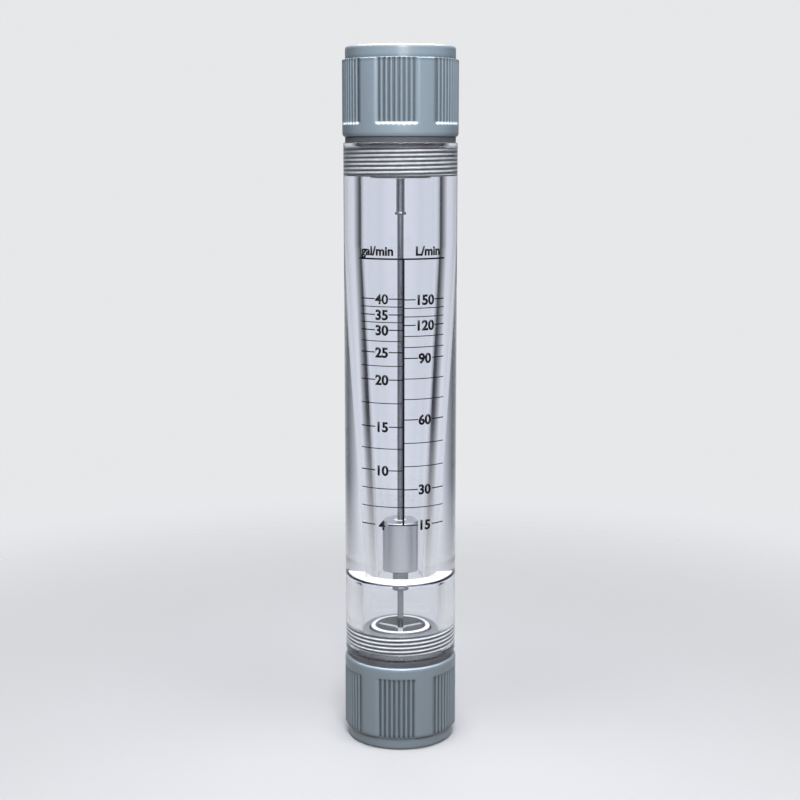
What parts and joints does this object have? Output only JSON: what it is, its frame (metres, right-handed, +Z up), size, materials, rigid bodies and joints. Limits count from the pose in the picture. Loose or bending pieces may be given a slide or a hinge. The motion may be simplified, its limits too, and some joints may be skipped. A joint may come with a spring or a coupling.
{
  "type": "clear tube flow meter",
  "caption": "Upright clear tube flow meter with a tapered bore, a float on a guide rod and a ribbed threaded pipe head at each end.",
  "frame": {"origin": "centre of the lower head's end face, which the meter stands on", "axes": "+Z up along the tube and the guide rod; the scale faces -Y"},
  "size_m": [0.065, 0.065, 0.398],
  "materials": {
    "clear_tube": "clear polished acrylic",
    "head_plastic": "moulded blue-grey plastic, satin",
    "seal_rubber": "dark grey moulded rubber",
    "guide_plastic": "white moulded plastic",
    "spring_steel": "blackened spring steel",
    "rod_steel": "drawn stainless steel",
    "stop_steel": "turned stainless steel",
    "float_steel": "finely turned stainless steel",
    "bush_plastic": "white low-friction plastic"
  },
  "bodies": {
    "lower_fitting": {"lower_head": "head_plastic", "lower_pipe_seal": "seal_rubber", "lower_rod_guide": "guide_plastic", "lower_snap_ring": "spring_steel", "guide_rod": "rod_steel", "rod_washer": "rod_steel", "rod_nut": "rod_steel", "rod_lock_nut": "rod_steel", "lower_stop": "stop_steel", "upper_stop": "stop_steel"},
    "float": {"float_body": "float_steel", "float_lower_bush": "bush_plastic", "float_upper_bush": "bush_plastic"},
    "lower_seal": {"lower_gasket": "seal_rubber"},
    "tube": {"body_tube": "clear_tube"},
    "upper_seal": {"upper_gasket": "seal_rubber"},
    "upper_fitting": {"upper_head": "head_plastic", "upper_pipe_seal": "seal_rubber", "upper_rod_guide": "guide_plastic", "upper_snap_ring": "spring_steel"}
  },
  "joints": [
    {"name": "float_rise", "type": "slide", "parent": "lower_fitting", "child": "float", "axis": [0, 0, 1], "range_m": [0, 0.175]},
    {"name": "tube_unscrew", "type": "hinge", "parent": "lower_fitting", "child": "lower_seal", "pos_m": [0, 0, 0.0525], "axis": [0, 0, 1], "range_deg": [0, 2160]},
    {"name": "tube_lift", "type": "slide", "parent": "lower_seal", "child": "tube", "axis": [0, 0, 1], "range_m": [0, 0.01386]},
    {"name": "upper_head_lift", "type": "slide", "parent": "tube", "child": "upper_seal", "axis": [0, 0, 1], "range_m": [0, 0.01848]},
    {"name": "upper_head_unscrew", "type": "hinge", "parent": "upper_seal", "child": "upper_fitting", "pos_m": [0, 0, 0.3455], "axis": [0, 0, 1], "range_deg": [0, 2880]}
  ],
  "couplings": [
    {"joint": "tube_lift", "follows": "tube_unscrew", "m_per_rad": 0.00036749},
    {"joint": "upper_head_lift", "follows": "upper_head_unscrew", "m_per_rad": 0.00036749}
  ]
}
